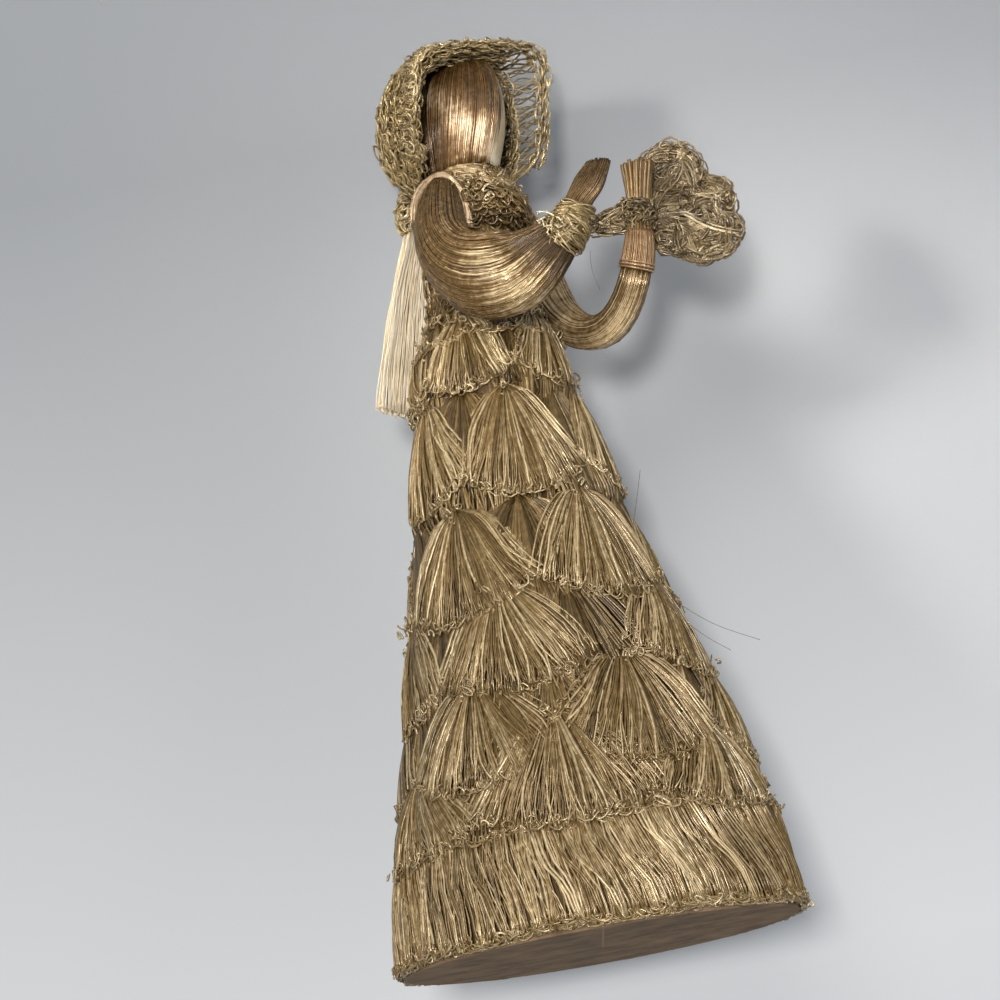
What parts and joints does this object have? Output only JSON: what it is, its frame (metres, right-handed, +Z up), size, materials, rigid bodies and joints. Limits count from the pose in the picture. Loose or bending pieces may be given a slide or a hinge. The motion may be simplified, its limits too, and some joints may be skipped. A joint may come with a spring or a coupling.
{
  "type": "fibre doll figurine",
  "caption": "Standing faceless lady of combed and crocheted plant fibre in a shell-pattern dress and bonnet, holding a handkerchief, on a round card",
  "frame": {"origin": "centre of the underside of the round base card, on the surface that the doll stands on", "axes": "+Z up through the head, -Y the way the doll faces, +X towards the doll's left hand"},
  "size_m": [0.109, 0.1259, 0.2664],
  "materials": {
    "card": "matte",
    "dress_crochet": "satin",
    "combed_fibre": "silky",
    "bonnet_crochet": "satin",
    "pale_fibre": "satin",
    "cuff_crochet": "satin",
    "cuff_wrap": "satin",
    "handkerchief_crochet": "satin"
  },
  "bodies": {
    "root": {"base_card": "card", "dress": "dress_crochet", "collar": "dress_crochet", "head": "combed_fibre", "bonnet": "bonnet_crochet", "veil": "pale_fibre", "right_arm": "combed_fibre", "left_arm": "combed_fibre", "right_cuff": "cuff_crochet", "left_cuff": "cuff_wrap", "handkerchief": "handkerchief_crochet"}
  },
  "joints": []
}
